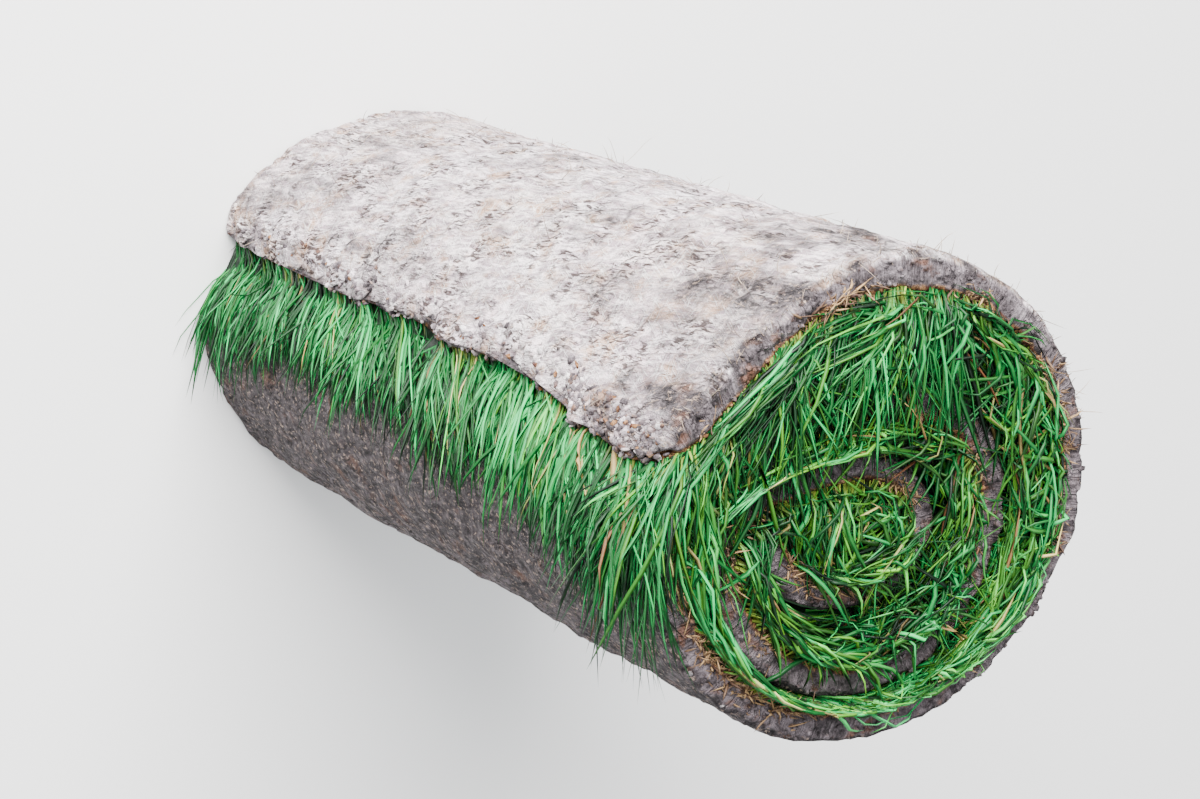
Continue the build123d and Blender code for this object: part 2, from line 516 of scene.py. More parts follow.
def fibre_group():
    """Stains, soft streaks, dents in clusters that are coloured dark as partly dark soil and partly
    painted shade, and pale root fibres, all of stretched noise.

    They run mostly down the roll. Each kind is (turn in radians, scale along the strip and down it,
    and the noise values at which its mask starts and is full).
    """
    labels = ("Stains", "Streaks", "Shaded_pits", "Fibres", "Height")
    group = bpy.data.node_groups.new("root_fibres", "ShaderNodeTree")
    group.interface.new_socket("Strip", in_out="INPUT", socket_type="NodeSocketVector")
    size = group.interface.new_socket("Size", in_out="INPUT", socket_type="NodeSocketFloat")
    size.default_value = 1.0
    for label in labels:
        group.interface.new_socket(label, in_out="OUTPUT", socket_type="NodeSocketFloat")
    start, end = group.nodes.new("NodeGroupInput"), group.nodes.new("NodeGroupOutput")
    w = Wiring(group)
    values = {0: start.outputs["Strip"], "Scale": start.outputs["Size"]}
    scaled = w.add("VectorMath", values, operation="SCALE").outputs[0]
    bent = w.bent(scaled, 40.0, 0.005)

    def mask(kinds, detail, rough):
        whole = None
        for turn, scale, low, high in kinds:
            one = w.ramp(w.noise(w.stretched(bent, scale, turn), 1.0, detail, rough), low, high)
            whole = one if whole is None else w.maths("MAXIMUM", whole, one)
        return whole

    stains = mask(((-0.2, (95, 26, 1), 0.51, 0.61),), 5.0, 0.65)
    streaks = mask(((-0.2, (200, 34, 1), 0.48, 0.60), (-0.42, (340, 66, 1), 0.51, 0.62)), 3.0, 0.6)
    # Dents in the bump, which are coloured dark later: partly dark soil, partly painted shade
    shaded_pits = mask(((-0.15, (420, 95, 1), 0.55, 0.61), (-0.45, (560, 150, 1), 0.56, 0.62)), 2.0, 0.5)
    shaded_pits = w.times(shaded_pits, w.ramp(w.noise(scaled, 30.0, 5.0), 0.46, 0.57, 0.08, 1.0))
    fibres = mask((
        (0.35, (1100, 60, 1), 0.58, 0.68), (-0.5, (1000, 70, 1), 0.58, 0.68),
        (1.2, (900, 55, 1), 0.58, 0.68),
    ), 1.0, 0.4)
    height = w.times(w.noise(scaled, 420.0, 4.0, 0.7), 0.9)
    height = w.maths("ADD", height, w.times(fibres, 0.35))
    height = w.maths("SUBTRACT", height, w.times(streaks, 0.5))
    height = w.maths("SUBTRACT", height, w.times(shaded_pits, 1.1))
    for label, value in zip(labels, (stains, streaks, shaded_pits, fibres, height)):
        group.links.new(value, end.inputs[label])
    return group


def new_material(name):
    """A material with its wiring and its shader."""
    material = bpy.data.materials.new(name)
    material.use_nodes = True
    return material, Wiring(material.node_tree), material.node_tree.nodes["Principled BSDF"]


def soil_material(fibres):
    """Dried soil and roots: pale and fibrous on the drier faces that get painted light, dark and crumbly
    on the moist faces that get painted shade, and where cut.
    """
    material, w, shader = new_material("root_mat")
    place = w.add("TexCoord").outputs["Object"]
    dry_and_lit, depth = w.mark("dryness_and_light"), w.mark("depth")
    threads = w.add("Group")
    threads.node_tree = fibres
    w.join(w.add("UVMap", uv_map="strip").outputs[0], threads.inputs["Strip"])
    stains, streaks, shaded_pits, strands = (
        threads.outputs[label] for label in ("Stains", "Streaks", "Shaded_pits", "Fibres")
    )
    cloud = w.noise(place, 14.0, 4.0, 0.65)
    crumb = w.noise(place, 150.0, 5.0, 0.75)
    speck = w.noise(place, 330.0, 3.0, 0.6)

    pale = w.mix(w.ramp(cloud, 0.36, 0.64), rgb(238, 218, 222), rgb(255, 247, 252))
    pale = w.mix(w.ramp(w.noise(place, 7.0, 5.0), 0.50, 0.64, 0, 0.5), pale, rgb(214, 188, 172))
    pale = w.mix(w.times(stains, 0.75), pale, rgb(164, 134, 120))
    pale = w.mix(w.times(streaks, 0.85), pale, rgb(150, 132, 140))
    pale = w.mix(w.ramp(w.noise(place, 44.0, 5.0), 0.53, 0.66, 0, 0.75), pale, rgb(196, 154, 120))
    pale = w.mix(w.times(strands, 0.6), pale, rgb(255, 252, 250))
    # The dents: partly dark soil, partly painted shade in them
    pale = w.mix(w.times(shaded_pits, 0.95), pale, rgb(64, 48, 44))

    # Dark soil colour, for moist soil and for painted shade on the sides that face away from the light
    damp_and_shaded = w.mix(w.ramp(crumb, 0.38, 0.62), rgb(32, 28, 30), rgb(98, 90, 92))
    damp_and_shaded = w.mix(w.ramp(w.noise(place, 46.0), 0.56, 0.68, 0, 0.6), damp_and_shaded, rgb(108, 74, 56))
    damp_and_shaded = w.mix(w.ramp(speck, 0.58, 0.66, 0, 0.85), damp_and_shaded, rgb(176, 153, 138))
    damp_and_shaded = w.mix(w.times(streaks, 0.3), damp_and_shaded, rgb(57, 49, 52))
    # The dents: partly dark soil, partly painted shade in them
    damp_and_shaded = w.mix(w.times(shaded_pits, 0.8), damp_and_shaded, rgb(26, 22, 24))
    grain = w.ramp(crumb, 0.34, 0.66, -0.34, 0.22)
    grain = w.times(grain, w.ramp(dry_and_lit, 0.5, 1.0, 0.25, 1.0))
    # Painted light and shade: the mark mixes from the dark colour on the shaded sides to the pale one on
    # the lit flap and crown
    bare = w.mix(w.ramp(w.maths("ADD", dry_and_lit, grain), 0.08, 0.98), damp_and_shaded, pale)

    values = {"Vector": w.bent(place, 34.0, 0.034), "Scale": 26.0}
    web = w.add("TexVoronoi", values, feature="DISTANCE_TO_EDGE").outputs["Distance"]
    crack = w.times(w.ramp(web, 0.04, 0.0), w.ramp(w.noise(place, 18.0), 0.50, 0.62))
    crack = w.times(crack, w.ramp(depth, 0.15, 0.0))
    crack = w.times(crack, w.ramp(dry_and_lit, 0.95, 0.45))
    bare = w.mix(crack, bare, rgb(33, 28, 28))

    cut = w.mix(w.ramp(dry_and_lit, 0.2, 1.0), rgb(116, 106, 110), rgb(150, 139, 144))
    cut = w.mix(w.ramp(crumb, 0.36, 0.62), rgb(45, 39, 41), cut)
    cut = w.mix(w.ramp(w.noise(place, 70.0), 0.54, 0.68, 0, 0.7), cut, rgb(110, 72, 52))
    thatch = w.mix(w.ramp(speck, 0.4, 0.62), rgb(73, 38, 24), rgb(166, 122, 82))
    rim = w.ramp(w.maths("ADD", depth, w.ramp(crumb, 0.3, 0.7, -0.1, 0.1)), 0.04, 0.16)
    inside = w.ramp(w.maths("ADD", depth, w.ramp(crumb, 0.3, 0.7, -0.14, 0.14)), 0.75, 0.90)
    colour = w.mix(inside, w.mix(rim, bare, cut), thatch)
    shade = w.ramp(crumb, 0.30, 0.62, 0.78, 1.06)
    grey = w.add("CombineColor", {0: shade, 1: shade, 2: shade}).outputs[0]
    colour = w.mix(1.0, colour, grey, "MULTIPLY")
    shader.inputs["Specular IOR Level"].default_value = 0.25

    height = w.times(crumb, 1.7)
    height = w.maths("ADD", height, w.times(threads.outputs["Height"], 0.9))
    height = w.maths("SUBTRACT", height, w.times(crack, 1.4))
    w.finish(shader, colour, w.ramp(crumb, 0.3, 0.7, 0.98, 0.86), height, distance=0.0026)
    return material


def grass_material(name, deep, fresh, pale, straw):
    """Leaf blades: each with its own green, cool or warm, yellow at the root, and some of them straw;
    how deep or pale the green is also carries painted shade and light.
    """
    material, w, shader = new_material(name)
    place = w.add("TexCoord").outputs["Object"]
    shade, along, dead, warm = w.mark("shade"), w.mark("along"), w.mark("straw"), w.mark("warmth")
    # The shade mark holds each blade's own tone and also the painted shade and light that are set where
    # the blades are made
    green = w.mix(w.ramp(shade, 0.0, 0.5), deep, fresh)
    green = w.mix(w.ramp(shade, 0.5, 1.0), green, pale)
    sunny = w.mix(shade, rgb(24, 72, 4), rgb(118, 182, 34))
    green = w.mix(w.ramp(warm, 0.42, 0.95, 0, 0.8), green, sunny)
    root = w.times(w.ramp(along, 0.20, 0.02), w.ramp(warm, 0.25, 0.8, 0.0, 0.8))
    green = w.mix(root, green, rgb(160, 172, 70))
    tip = w.times(w.ramp(along, 0.90, 1.0), w.ramp(warm, 0.75, 0.9, 0, 0.7))
    green = w.mix(tip, green, rgb(166, 148, 82))
    colour = w.mix(dead, green, w.mix(shade, rgb(96, 58, 36), straw))
    rough = w.ramp(w.noise(place, 300.0, 2.0), 0.3, 0.7, 0.36, 0.56)
    shader.inputs["Specular IOR Level"].default_value = 0.26
    ribs = w.noise(w.stretched(place, (1, 1, 0.2)), 900.0, 2.0)
    w.finish(shader, colour, rough, ribs, strength=0.25, distance=0.0004)
    return material


def dry_material(name, dark, pale):
    """Dead stems and root hairs: a dull brown to straw colour, each its own, with finer streaks."""
    material, w, shader = new_material(name)
    place = w.add("TexCoord").outputs["Object"]
    own = w.mix(w.mark("shade"), dark, pale)
    streak = w.ramp(w.noise(place, 420.0, 3.0), 0.35, 0.65, 0, 0.45)
    rough = w.ramp(w.noise(place, 260.0, 2.0), 0.3, 0.7, 0.62, 0.85)
    w.finish(shader, w.mix(streak, own, rgb(86, 62, 48)), rough)
    return material


soil = soil_material(fibre_group())
leaf = grass_material(
    "grass_blades", rgb(1, 20, 5), rgb(6, 84, 30), rgb(34, 166, 86), rgb(186, 170, 104)
)
dry_stem = dry_material("dry_stems", rgb(60, 36, 24), rgb(178, 144, 98))
root_hair = dry_material("root_hairs", rgb(80, 64, 57), rgb(186, 168, 150))

# The soil mat

lip_rows = np.array([0, 1.2, 2.6, 4.2, 6.0, 8.0, 10.2]) / FLAP_LENGTH - 1
flap_rows = spaced(12.6 / FLAP_LENGTH - 1, 0.4, 2.6)
outer_rows = np.concatenate([
    lip_rows, flap_rows, spaced(0.4, 2.5, 4.7)[1:], spaced(2.5, TURN, 3.5)[1:],
])
mat_piece(
    "outer_turn_and_flap", outer_rows, outer_down=graded(LENGTH, 1.3, 2.7, 16),
    inner_down=graded(LENGTH, 3.0, 26.0, 60), across=np.linspace(0, MAT, 9),
)
coarse_down = graded(LENGTH, 1.6, 45.0, 70)
mat_piece(
    "inner_turns", spaced(TURN, EYE_STATION, 2.7), coarse_down, coarse_down,
    across=np.linspace(0, MAT, 10),
)

# Where a blade may go

# The section's cells are this wide, and reach this far from the roll's axis
CELL, EDGE = 1.5, 180.0


def section_field(first, last, one_sided=False):
    """For each cell of the section: clearance from the mat between two stations, the way out of it,
    and the strip's lay there.

    The clearance is the distance to the mat's middle line, less half its thickness. One-sided, it is
    counted along the outward normal, so that it goes on falling inside the mat and behind it.
    """
    used = (STATIONS >= first) & (STATIONS <= last)
    line = MID_LINE[used].astype(np.float32)
    ticks = np.arange(-EDGE, EDGE + CELL, CELL, dtype=np.float32)
    nearest = np.empty((len(ticks), len(ticks)), int)
    for row, x in enumerate(ticks):
        away = (line[None, :, 0] - x) ** 2 + (line[None, :, 1] - ticks[:, None]) ** 2
        nearest[row] = away.argmin(1)
    where = np.stack(np.meshgrid(ticks, ticks, indexing="ij"), -1)
    away = where - line[nearest]
    tangent = MID_TANGENT[used][nearest]
    if one_sided:
        out = np.stack([-tangent[..., 1], tangent[..., 0]], -1)
        return (away * out).sum(-1) - MAT / 2, out, -tangent
    return np.linalg.norm(away, axis=-1) - MAT / 2, unit(away), -tangent


TURNS = section_field(0.0, EYE_STATION)
WALL = section_field(1.6, TURN, one_sided=True)
RIM = section_field(-1.0, 2.5, one_sided=True)


def look_up(field, points):
    """The field at these points: clearance from the mat, the way out of it, the lay."""
    cell = np.clip(np.rint((points[:, :2] + EDGE) / CELL).astype(int), 0, len(field[0]) - 1)
    i, j = cell[:, 0], cell[:, 1]
    return field[0][i, j], field[1][i, j], field[2][i, j]


def rooted(stations, down, sink=2.5):
    """Roots just inside the mat's grass face, with the way out of it and the lay of the strip."""
    depth = MAT_CORE + (MAT - MAT_CORE) * lip_thickness(from_lip(stations, down)) - sink
    root = mat_place(stations, down, depth)
    under = mat_place(stations, down, depth - MAT * 0.4)
    ahead = mat_place(np.clip(stations - 0.02, -1.05, EYE_STATION), down, depth)
    start, lay = np.zeros_like(root), np.zeros_like(root)
    start[:, :2] = unit((root - under)[:, :2])
    lay[:, :2] = unit((ahead - root)[:, :2])
    return root, start, lay


def squeezed(values, limit, reach):
    """Values past the limit either way, drawn in to limit + reach * tanh(what is past it / reach)."""
    past = np.abs(values) - limit
    return np.where(past > 0, np.sign(values) * (limit + reach * np.tanh(past / reach)), values)


def kept_near(path):
    """Centre lines drawn in where they would stand too far out from the roll, and off the floor."""
    path = path.copy()
    for axis, (limit, reach) in enumerate(((156.0, 13.0), (142.0, 10.0), (LENGTH + 15.0, 10.0))):
        path[..., axis] = squeezed(path[..., axis], limit, reach)
    path[..., 2] = np.maximum(path[..., 2], 1.5)
    return path


# Rings along a blade, and the steps that it walks from one to the next
RINGS, SUBSTEPS = 6, 3


def grown(root, heading, length, hang, splay, height, loose, rim, follow, drift, seed):
    """Centre lines: a blade walks in equal steps, and turns a little at each towards where it is led.

    Between the turns it follows the lay, is pushed off the mat and slides along it. Past the upper
    end it hangs and stays under its own height. There a loose blade may cross the turns' ends, and
    the others stay in the room that they grew in. None goes further out than its own rim, counted
    from the flap's and the outer turn's outer face.
    """
    chance = np.random.default_rng(seed)
    count = len(root)
    step = (length / (RINGS * SUBSTEPS))[:, None]
    point, way, path = root, unit(heading), [root]
    come_out = np.zeros(count, bool)
    for _ in range(RINGS):
        for _ in range(SUBSTEPS):
            point = point + way * step
            clear, out, lay = look_up(TURNS, point)
            come_out |= point[:, 2] > LENGTH + 1
            over_end = loose & come_out & (point[:, 2] > LENGTH - 6)
            held = np.where(over_end, 0.0, 1.0)
            point[:, :2] += out * (np.clip(1.5 - clear, 0, 8) * held)[:, None]
            lying = ease(2.0, 0.0, clear) * np.clip(LENGTH + 1.2 - point[:, 2], 0, 8)
            point[:, 2] += np.where(over_end, lying, 0.0)
            into = np.clip(-(way[:, :2] * out).sum(1), 0, 1) * held * ease(6, 1, clear)
            way[:, :2] += out * into[:, None]
            past, over, _ = look_up(RIM, point)
            past = past - rim
            point[:, :2] -= over * np.clip(past, 0, 8)[:, None]
            outwards = np.clip((way[:, :2] * over).sum(1), 0, 1) * ease(-7, -1, past)
            way[:, :2] -= over * outwards[:, None]
            inside = ease(LENGTH + 2, LENGTH - 5, point[:, 2])
            downhill = np.clip(follow - 0.5 * lay[:, 1], 0, 1)
            led = drift + chance.normal(0, 0.10, (count, 3))
            led[:, :2] += lay * (downhill * (0.6 + 0.35 * inside))[:, None]
            led[:, :2] += DOWNHILL * (hang * (1.15 - 0.85 * inside))[:, None]
            led[:, 2] += splay * inside - 1.6 * ease(-6, 4, point[:, 2] - LENGTH - height)
            way = unit(way + 0.2 * unit(led))
            rise = point[:, 2] + way[:, 2] * step[:, 0]
            way[:, 2] = np.where(rise > LENGTH + height + 3, -0.05, way[:, 2])
        path.append(point)
    return np.stack(path, 1)


def tints(run, down, seed, straw_share=0.04, warm=0.34):
    """Each blade's green, alike within a tuft but with dark and bright ones in it, and its straw."""
    chance = np.random.default_rng(seed)
    count = len(run)
    tuft = smooth_noise(seed + 1, run / 16, down / 16)
    shade = 0.44 + 0.22 * tuft + chance.normal(0, 0.17, count)
    shade = shade + 0.42 * (chance.random(count) < 0.12) - 0.30 * (chance.random(count) < 0.28)
    warmth = warm + 0.25 * smooth_noise(seed + 2, run / 30, down / 30) + chance.normal(0, 0.2, count)
    straw = (chance.random(count) < straw_share) * chance.uniform(0.5, 1.0, count)
    return {"shade": np.clip(shade, 0, 1), "warmth": np.clip(warmth, 0, 1), "straw": straw}


def carried(name, path, width, marks, seed, flat=0.35, owner=("grass", "grass"), material=leaf):
    """Carries a keeled section along each centre line, and closes it at both ends.

    The section has two edges half a width out and a keel flat * width behind them. The width is
    0.7 to 1 of its own by the middle, and runs out to the tip by 1 - along^4.
    """
    path = kept_near(path)
    count, rings, _ = path.shape
    chance = np.random.default_rng(seed)
    along = np.linspace(0, 1, rings)
    tangent = unit(np.gradient(path, axis=1))
    face = unit(chance.normal(0, 1, (count, 3)))[:, None, :]
    face = face + chance.normal(0, 0.4, (count, 1, 3)) * along[None, :, None]
    side = unit(np.cross(tangent, face))
    keel = np.cross(side, tangent)
    profile = (0.7 + 0.3 * np.sin(np.clip(along * 2.2, 0, 1) * np.pi / 2)) * (1 - along**4)
    half = (width[:, None] / 2 * profile[None, :])[..., None]
    rows = np.stack([path + side * half, path - keel * half * flat * 2, path - side * half], 2)
    body = rows[:, :-1].reshape(count, -1, 3)
    points = np.concatenate([body, path[:, -1:]], 1)
    per = points.shape[1]
    top, tip = 3 * (rings - 2), per - 1
    quads = ring_quads(rings - 1, 3)
    tris = np.array([[top, top + 1, tip], [top + 1, top + 2, tip], [top + 2, top, tip], [2, 1, 0]])
    points = points.reshape(-1, 3)
    points[:, 2] = np.maximum(points[:, 2], 0.6)
    spread = {mark: np.repeat(values, per) for mark, values in marks.items()}
    spread["along"] = np.tile(np.concatenate([np.repeat(along[:-1], 3), [1.0]]), count)
    new_piece(
        name, points, repeated(quads, count, per), repeated(tris, count, per),
        *owner, material, spread,
    )


# Grass packed between the turns


def packed_grass():
    """A closed filling between each turn's grass face and the next turn's bare face, in the deepest
    green as painted shade in the hollows between the turns.

    A point is mixed straight from one face to the other by its share across the room, and in the
    innermost turn, which has no next one, from its face to the middle of the eye.
    """
    stations = np.concatenate([np.linspace(-0.93, 0, 40), np.linspace(0, EYE_STATION, 400)[1:-1]])
    across, downs = np.linspace(0, 1, 6), np.array([0.0, 60, 170, 420, LENGTH - 2])
    last = len(downs) - 1
    loop = [(share, 0) for share in across]
    loop += [(1.0, level) for level in range(1, last)]
    loop += [(share, last) for share in across[::-1]]
    loop += [(0.0, level) for level in range(last - 1, 0, -1)]
    share, level = (np.array(column) for column in zip(*loop))
    recess = 24 + layers(71, [(20, 9)], run_at(stations))[:, None]
    recess = recess - 6 * np.sin(share * np.pi)[None, :]
    down = downs[level][None, :] + np.where(level == 0, recess, 0)
    near = mat_place(stations[:, None], down, MAT - 1.0)
    far = mat_place(np.minimum(stations + TURN, EYE_STATION)[:, None], down, 1.0)
    eye = far.copy()
    eye[..., :2] = MID_LINE[STATIONS > 7].mean(0) * 0.96 + near[..., :2] * 0.04
    innermost = ease(6.9, 7.3, stations)[:, None, None]
    far = far * (1 - innermost) + eye * innermost
    points = (near * (1 - share[:, None]) + far * share[:, None]).reshape(-1, 3)
    columns = len(loop)
    ring = np.arange(columns)
    fan = np.stack([np.full(columns - 2, 0), ring[1:-1], ring[2:]], -1)
    caps = np.concatenate([fan[:, ::-1], fan + (len(stations) - 1) * columns])
    # Painted shade: every mark at zero gives the deepest green
    painted_shade_marks = {mark: np.zeros(len(points)) for mark in ("shade", "warmth", "straw", "along")}
    new_piece(
        "packed_grass", points, ring_quads(len(stations), columns), caps,
        "grass", "grass", leaf, painted_shade_marks,
    )


packed_grass()

# Blades at the upper end


def end_blades(
    name, count, seed, low, high, reach, hang, follow, lengths, widths, heights, loose, rims,
):
    """Blades rooted between two stations near the upper end, laid along the strip and spilling out.

    loose is the share of loose ones under the crown, and lower down or further in.
    """
    chance = np.random.default_rng(seed)
    run = chance.uniform(run_at(low), run_at(high), count)
    down = reach * chance.random(count) ** 1.4 + 1.5
    stations = np.maximum(station_at(run), behind_lip(down, 3))
    root, start, lay = rooted(stations, down)
    tuft = smooth_noise(seed + 3, run / 14, down / 14)
    splay = 0.35 + 0.5 * chance.random(count) + 0.25 * tuft
    downhill = 0.5 - 0.5 * lay[:, 1]
    heading = start * 0.8 + lay * ((0.4 + 0.5 * chance.random(count)) * downhill)[:, None]
    heading[:, 2] += splay
    heading += 0.4 * tuft_way(seed + 20, run, down) + chance.normal(0, 0.16, (count, 3))
    length = chance.uniform(*lengths, count) * (1 + 0.15 * tuft)
    pull = hang * chance.uniform(0.6, 1.3, count)
    height = chance.uniform(*heights, count)
    drift = 1.2 * tuft_way(seed + 30, run, down) + chance.normal(0, 0.32, (count, 3))
    share = loose[1] + (loose[0] - loose[1]) * ease(1.1, 0.5, stations)
    is_loose = chance.random(count) < share
    rim = chance.uniform(*rims, count) - MAT
    path = grown(
        root, heading, length, pull, splay * 0.7, height, is_loose, rim, follow, drift, seed + 5
    )
    marks = tints(run, down, seed, warm=0.26 + 0.2 * ease(-0.2, 1.2, stations))
    # Painted light and shade: blades that rise higher above the end are lighter and lower ones darker;
    # lit paints light on the outer turn's blades from its right side round to its left, and on those
    # under the flap near the lip
    out = (height - heights[0]) / (heights[1] - heights[0])
    lit = 0.22 * ease(0.3, 1.6, stations) * ease(4.5, 3.9, stations)
    lit = lit + 0.20 * ease(-0.45, -0.85, stations)
    marks["shade"] = np.clip(marks["shade"] + 0.40 * (out - 0.6) - 0.10 + lit, 0, 1)
    carried(name, path, chance.uniform(*widths, count), marks, seed + 9)


end_blades(
    "blades_outer_turn", 2300, 101, low=-0.1, high=TURN, reach=44, hang=0.62, follow=0.65,
    lengths=(48, 98), widths=(1.6, 3.3), heights=(2, 14), loose=(0.5, 0.05), rims=(-2, 12),
)
end_blades(
    "blades_inner_turns", 2200, 202, low=TURN, high=LAST_ROOT, reach=38, hang=0.45, follow=0.65,
    lengths=(32, 72), widths=(1.7, 3.3), heights=(1, 12), loose=(0.34, 0.34), rims=(-2, 5),
)
# Every blade under the flap hangs free.
end_blades(
    "blades_under_flap", 1500, 303, low=-0.93, high=0.25, reach=42, hang=1.15, follow=0.2,
    lengths=(52, 118), widths=(1.6, 3.3), heights=(4, 16), loose=(1.1, 1.1), rims=(-3, 3),
)

# The fringe


def hung(root, heading, length, stand, lean, pull, seed):
    """Centre lines of the fringe: out from under the lip, over the shoulder and down the wall.

    At each step the blade turns towards downhill and the height pull, each at its own rate and with
    its own lean and drift. It is kept off the wall by its own clearance, which narrows towards the
    tip.
    """
    chance = np.random.default_rng(seed)
    count = len(root)
    steps = RINGS * SUBSTEPS
    step = (length / steps)[:, None]
    rate = chance.uniform(0.12, 0.36, (count, 1))
    drift = chance.normal(0, 0.30, (count, 3))
    point, way, path = root, unit(heading), [root]
    for k in range(steps):
        point = point + way * step
        clear, out, _ = look_up(WALL, point)
        room = stand * (1 - 0.6 * k / steps)
        point[:, :2] += out * np.clip(room - clear, 0, 25)[:, None]
        into = np.clip(-(way[:, :2] * out).sum(1), 0, 1) * ease(5, 0, clear - room)
        way[:, :2] += out * into[:, None]
        led = drift + chance.normal(0, 0.10, (count, 3))
        led[:, :2] += DOWNHILL
        led[:, 2] += lean + 0.004 * (pull - point[:, 2])
        way = unit(way + (rate + 0.008 * k) * unit(led))
        if k % SUBSTEPS == SUBSTEPS - 1:
            path.append(point)
    return np.stack(path, 1)


DEAD_LEAVES = 3


def fringe(name, count, seed):
    """Blades rooted under the lip, in tufts that draw together towards their tips.

    The first few are broad dead leaves that hang in front, near the tongue.
    """
    chance = np.random.default_rng(seed)
    dead = np.arange(count) < DEAD_LEAVES
    down = chance.uniform(1.0, LENGTH - 2.0, 2 * count)
    kept = smooth_noise(seed + 8, down / 8) + chance.normal(0, 0.35, 2 * count) > -0.1
    down = np.concatenate([down[kept], down[~kept]])[:count]
    down = np.clip(down + 4.5 * smooth_noise(seed + 6, down / 9), 1.0, LENGTH - 2.0)
    down = np.where(dead, 48 + 34 * np.arange(count), down)
    back = 0.5 + 11 * chance.random(count) ** 1.5
    root, start, lay = rooted(behind_lip(down, back), down, sink=1.5)
    tuft = smooth_noise(seed + 1, down / 11)
    broad = smooth_noise(seed + 2, down / 45)
    at_foot = np.exp((down - LENGTH) / 50)
    reach = 72 + 58 * np.exp(-down / 60) + 40 * at_foot
    length = (reach + 20 * tuft + 10 * broad) * chance.uniform(0.38, 1.15, count) + back
    length = np.where(dead, 38 + back, length)
    heading = lay * (chance.uniform(-0.1, 0.35, count) * (1 - 0.9 * at_foot))[:, None]
    heading += start * chance.uniform(0.0, 0.4, count)[:, None]
    heading[:, :2] += 0.9 * DOWNHILL
    heading[:, 2] += 0.28 + 0.3 * tuft + chance.normal(0, 0.34, count)
    stand = 0.8 + (11 - 6 * at_foot) * chance.random(count) ** 2.0
    stand = np.where(dead, 13.0, stand)
    lean = 0.10 + 0.30 * ease(0, 60, down) + 0.22 * broad + chance.normal(0, 0.26, count)
    clump = (np.floor(down / 15) + 0.5) * 15 + 5 * smooth_noise(seed + 7, np.floor(down / 15) * 1.7)
    path = hung(root, heading, length, stand, lean, LENGTH - clump - 4, seed + 5)
    warm = 0.08 + 0.22 * np.exp(-down / 150)
    marks = tints(down * 0 + 40, down, seed, straw_share=0.03, warm=warm)
    # Painted shade and light: blades that stand close to the wall are darker and those further out
    # lighter; blades are also made lighter towards the foot
    marks["shade"] = np.clip(marks["shade"] + 0.55 * (stand / 12 - 0.62) + 0.22 * at_foot, 0, 1)
    marks["straw"] = np.where(dead, 1.0, marks["straw"])
    width = np.where(dead, 4.6, chance.uniform(1.5, 2.9, count))
    carried(name, path, width, marks, seed + 4)


fringe("fringe_under_lip", 4800, 404)

# Blades at the foot


def foot_blades(name, count, seed):
    """Short blades bent flat between the turns at the lower end, where the roll stands on them."""
    chance = np.random.default_rng(seed)
    run = chance.uniform(run_at(-0.9), run_at(LAST_ROOT), count)
    down = LENGTH - 2.5 - 26 * chance.random(count) ** 1.5
    root, start, lay = rooted(station_at(run), down)
    steps = 3
    step = (chance.uniform(22, 50, count) / steps)[:, None]
    heading = start * 0.6 + lay
    heading[:, 2] -= 0.5
    point, way, path = root, unit(heading), [root]
    for _ in range(steps):
        point = point + way * step
        clear, out, flow = look_up(TURNS, point)
        point[:, :2] += out * np.clip(2.0 - clear, 0, 6)[:, None]
        led = chance.normal(0, 0.25, (count, 3))
        led[:, :2] += flow
        led[:, 2] -= 0.3
        way = unit(way + 0.6 * unit(led))
        path.append(point)
    marks = tints(run, down, seed)
    carried(name, np.stack(path, 1), chance.uniform(1.8, 3.0, count), marks, seed + 4)


foot_blades("blades_at_foot", 2400, 505)

# Crumbs, dry stems and root hairs


def lumps(name, station, down, depth, tone, size, seed):
    """Crumbs of soil: points on a sphere by latitude and turn, pushed in and out, squashed and turned.

    They lie at depth. Each is coloured as the mat is as deep as tone, but a little drier or damper.
    """
    chance = np.random.default_rng(seed)
    count, rings, around = len(station), 3, 6
    latitude = np.pi * (np.arange(rings) + 1) / (rings + 1) - np.pi / 2
    t, a = np.meshgrid(latitude, 2 * np.pi * np.arange(around) / around, indexing="ij")
    ball = np.stack([np.cos(t) * np.cos(a), np.cos(t) * np.sin(a), np.sin(t)], -1).reshape(-1, 3)
    ball = np.concatenate([ball, [(0, 0, -1), (0, 0, 1)]])
    per = len(ball)
    shape = ball * chance.uniform(0.55, 1.3, (count, per, 1)) * chance.uniform(0.4, 1.35, (count, 1, 3))
    own = np.repeat(chance.uniform(-0.45, 0.40, count), per)
    first = unit(chance.normal(0, 1, (count, 3)))
    second = unit(np.cross(first, chance.normal(0, 1, (count, 3))))
    turned = np.stack([first, second, np.cross(first, second)], 1)
    centre = worn_place(station, down, depth)
    points = (shape * size[:, None, None]) @ turned + centre[:, None, :]
    points[..., 2] = np.maximum(points[..., 2], 0.2)
    south, north, top = per - 2, per - 1, (rings - 1) * around
    k = np.arange(around)
    following = (k + 1) % around
    caps = np.concatenate([
        np.stack([np.full(around, south), following, k], -1),
        np.stack([top + k, top + following, np.full(around, north)], -1),
    ])
    station, down, tone = (np.repeat(line, per) for line in (station, down, tone))
    marks = mat_marks(station, down, tone)
    marks["dryness_and_light"] = np.clip(marks["dryness_and_light"] + own, 0, 1)
    new_piece(
        name, points.reshape(-1, 3), repeated(ring_quads(rings, around), count, per),
        repeated(caps, count, per), "soil_mat", "soil", soil, marks, strip_map(station, down),
    )


